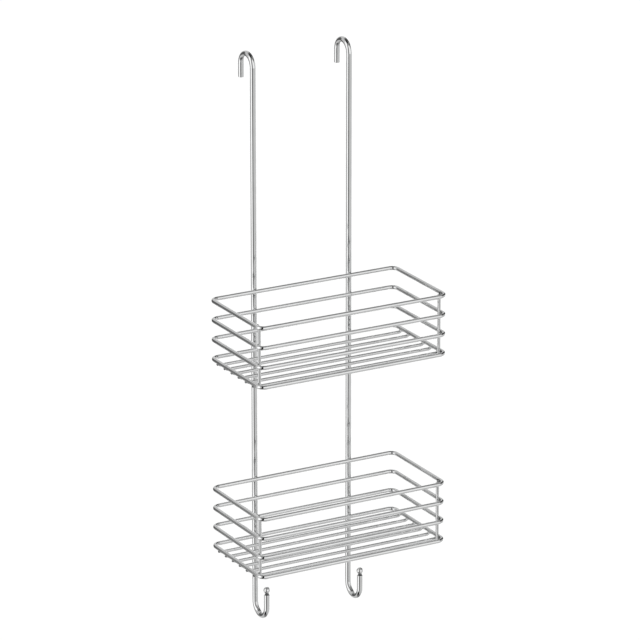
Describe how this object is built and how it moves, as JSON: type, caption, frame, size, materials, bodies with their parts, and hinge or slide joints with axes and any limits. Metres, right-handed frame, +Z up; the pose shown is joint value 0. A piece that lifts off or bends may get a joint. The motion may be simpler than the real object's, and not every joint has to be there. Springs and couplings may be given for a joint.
{
  "type": "shower caddy",
  "caption": "Chrome wire shower caddy that hooks over a glass screen, with stacked open wire baskets and ball-tipped hooks below.",
  "frame": {"origin": "midway between the two top hooks, on the glass edge that the insides of their bends rest on", "axes": "+Z up along the hanger rods, -Y to the front where the baskets stand out, +X to the right seen from the front"},
  "size_m": [0.255, 0.1629, 0.7033],
  "materials": {
    "rod_chrome": "polished chrome plate on drawn steel rod",
    "ring_chrome": "polished chrome plate on drawn steel wire",
    "light_wire_chrome": "polished chrome plate on thin drawn steel wire",
    "ball_chrome": "polished chrome plate on a turned steel ball"
  },
  "bodies": {
    "root": {"left_hanger_rod": "rod_chrome", "left_hook_ball": "ball_chrome", "lower_basket_base_ring": "ring_chrome", "lower_basket_floor_wire_1": "light_wire_chrome", "lower_basket_floor_wire_2": "light_wire_chrome", "lower_basket_floor_wire_3": "light_wire_chrome", "lower_basket_floor_wire_4": "light_wire_chrome", "lower_basket_floor_wire_5": "light_wire_chrome", "lower_basket_floor_wire_6": "light_wire_chrome", "lower_basket_left_upright": "light_wire_chrome", "lower_basket_right_upright": "light_wire_chrome", "lower_basket_rim_ring": "ring_chrome", "lower_basket_second_ring": "ring_chrome", "lower_basket_third_ring": "ring_chrome", "right_hanger_rod": "rod_chrome", "right_hook_ball": "ball_chrome", "upper_basket_base_ring": "ring_chrome", "upper_basket_floor_wire_1": "light_wire_chrome", "upper_basket_floor_wire_2": "light_wire_chrome", "upper_basket_floor_wire_3": "light_wire_chrome", "upper_basket_floor_wire_4": "light_wire_chrome", "upper_basket_floor_wire_5": "light_wire_chrome", "upper_basket_floor_wire_6": "light_wire_chrome", "upper_basket_left_upright": "light_wire_chrome", "upper_basket_right_upright": "light_wire_chrome", "upper_basket_rim_ring": "ring_chrome", "upper_basket_second_ring": "ring_chrome", "upper_basket_third_ring": "ring_chrome"}
  },
  "joints": []
}
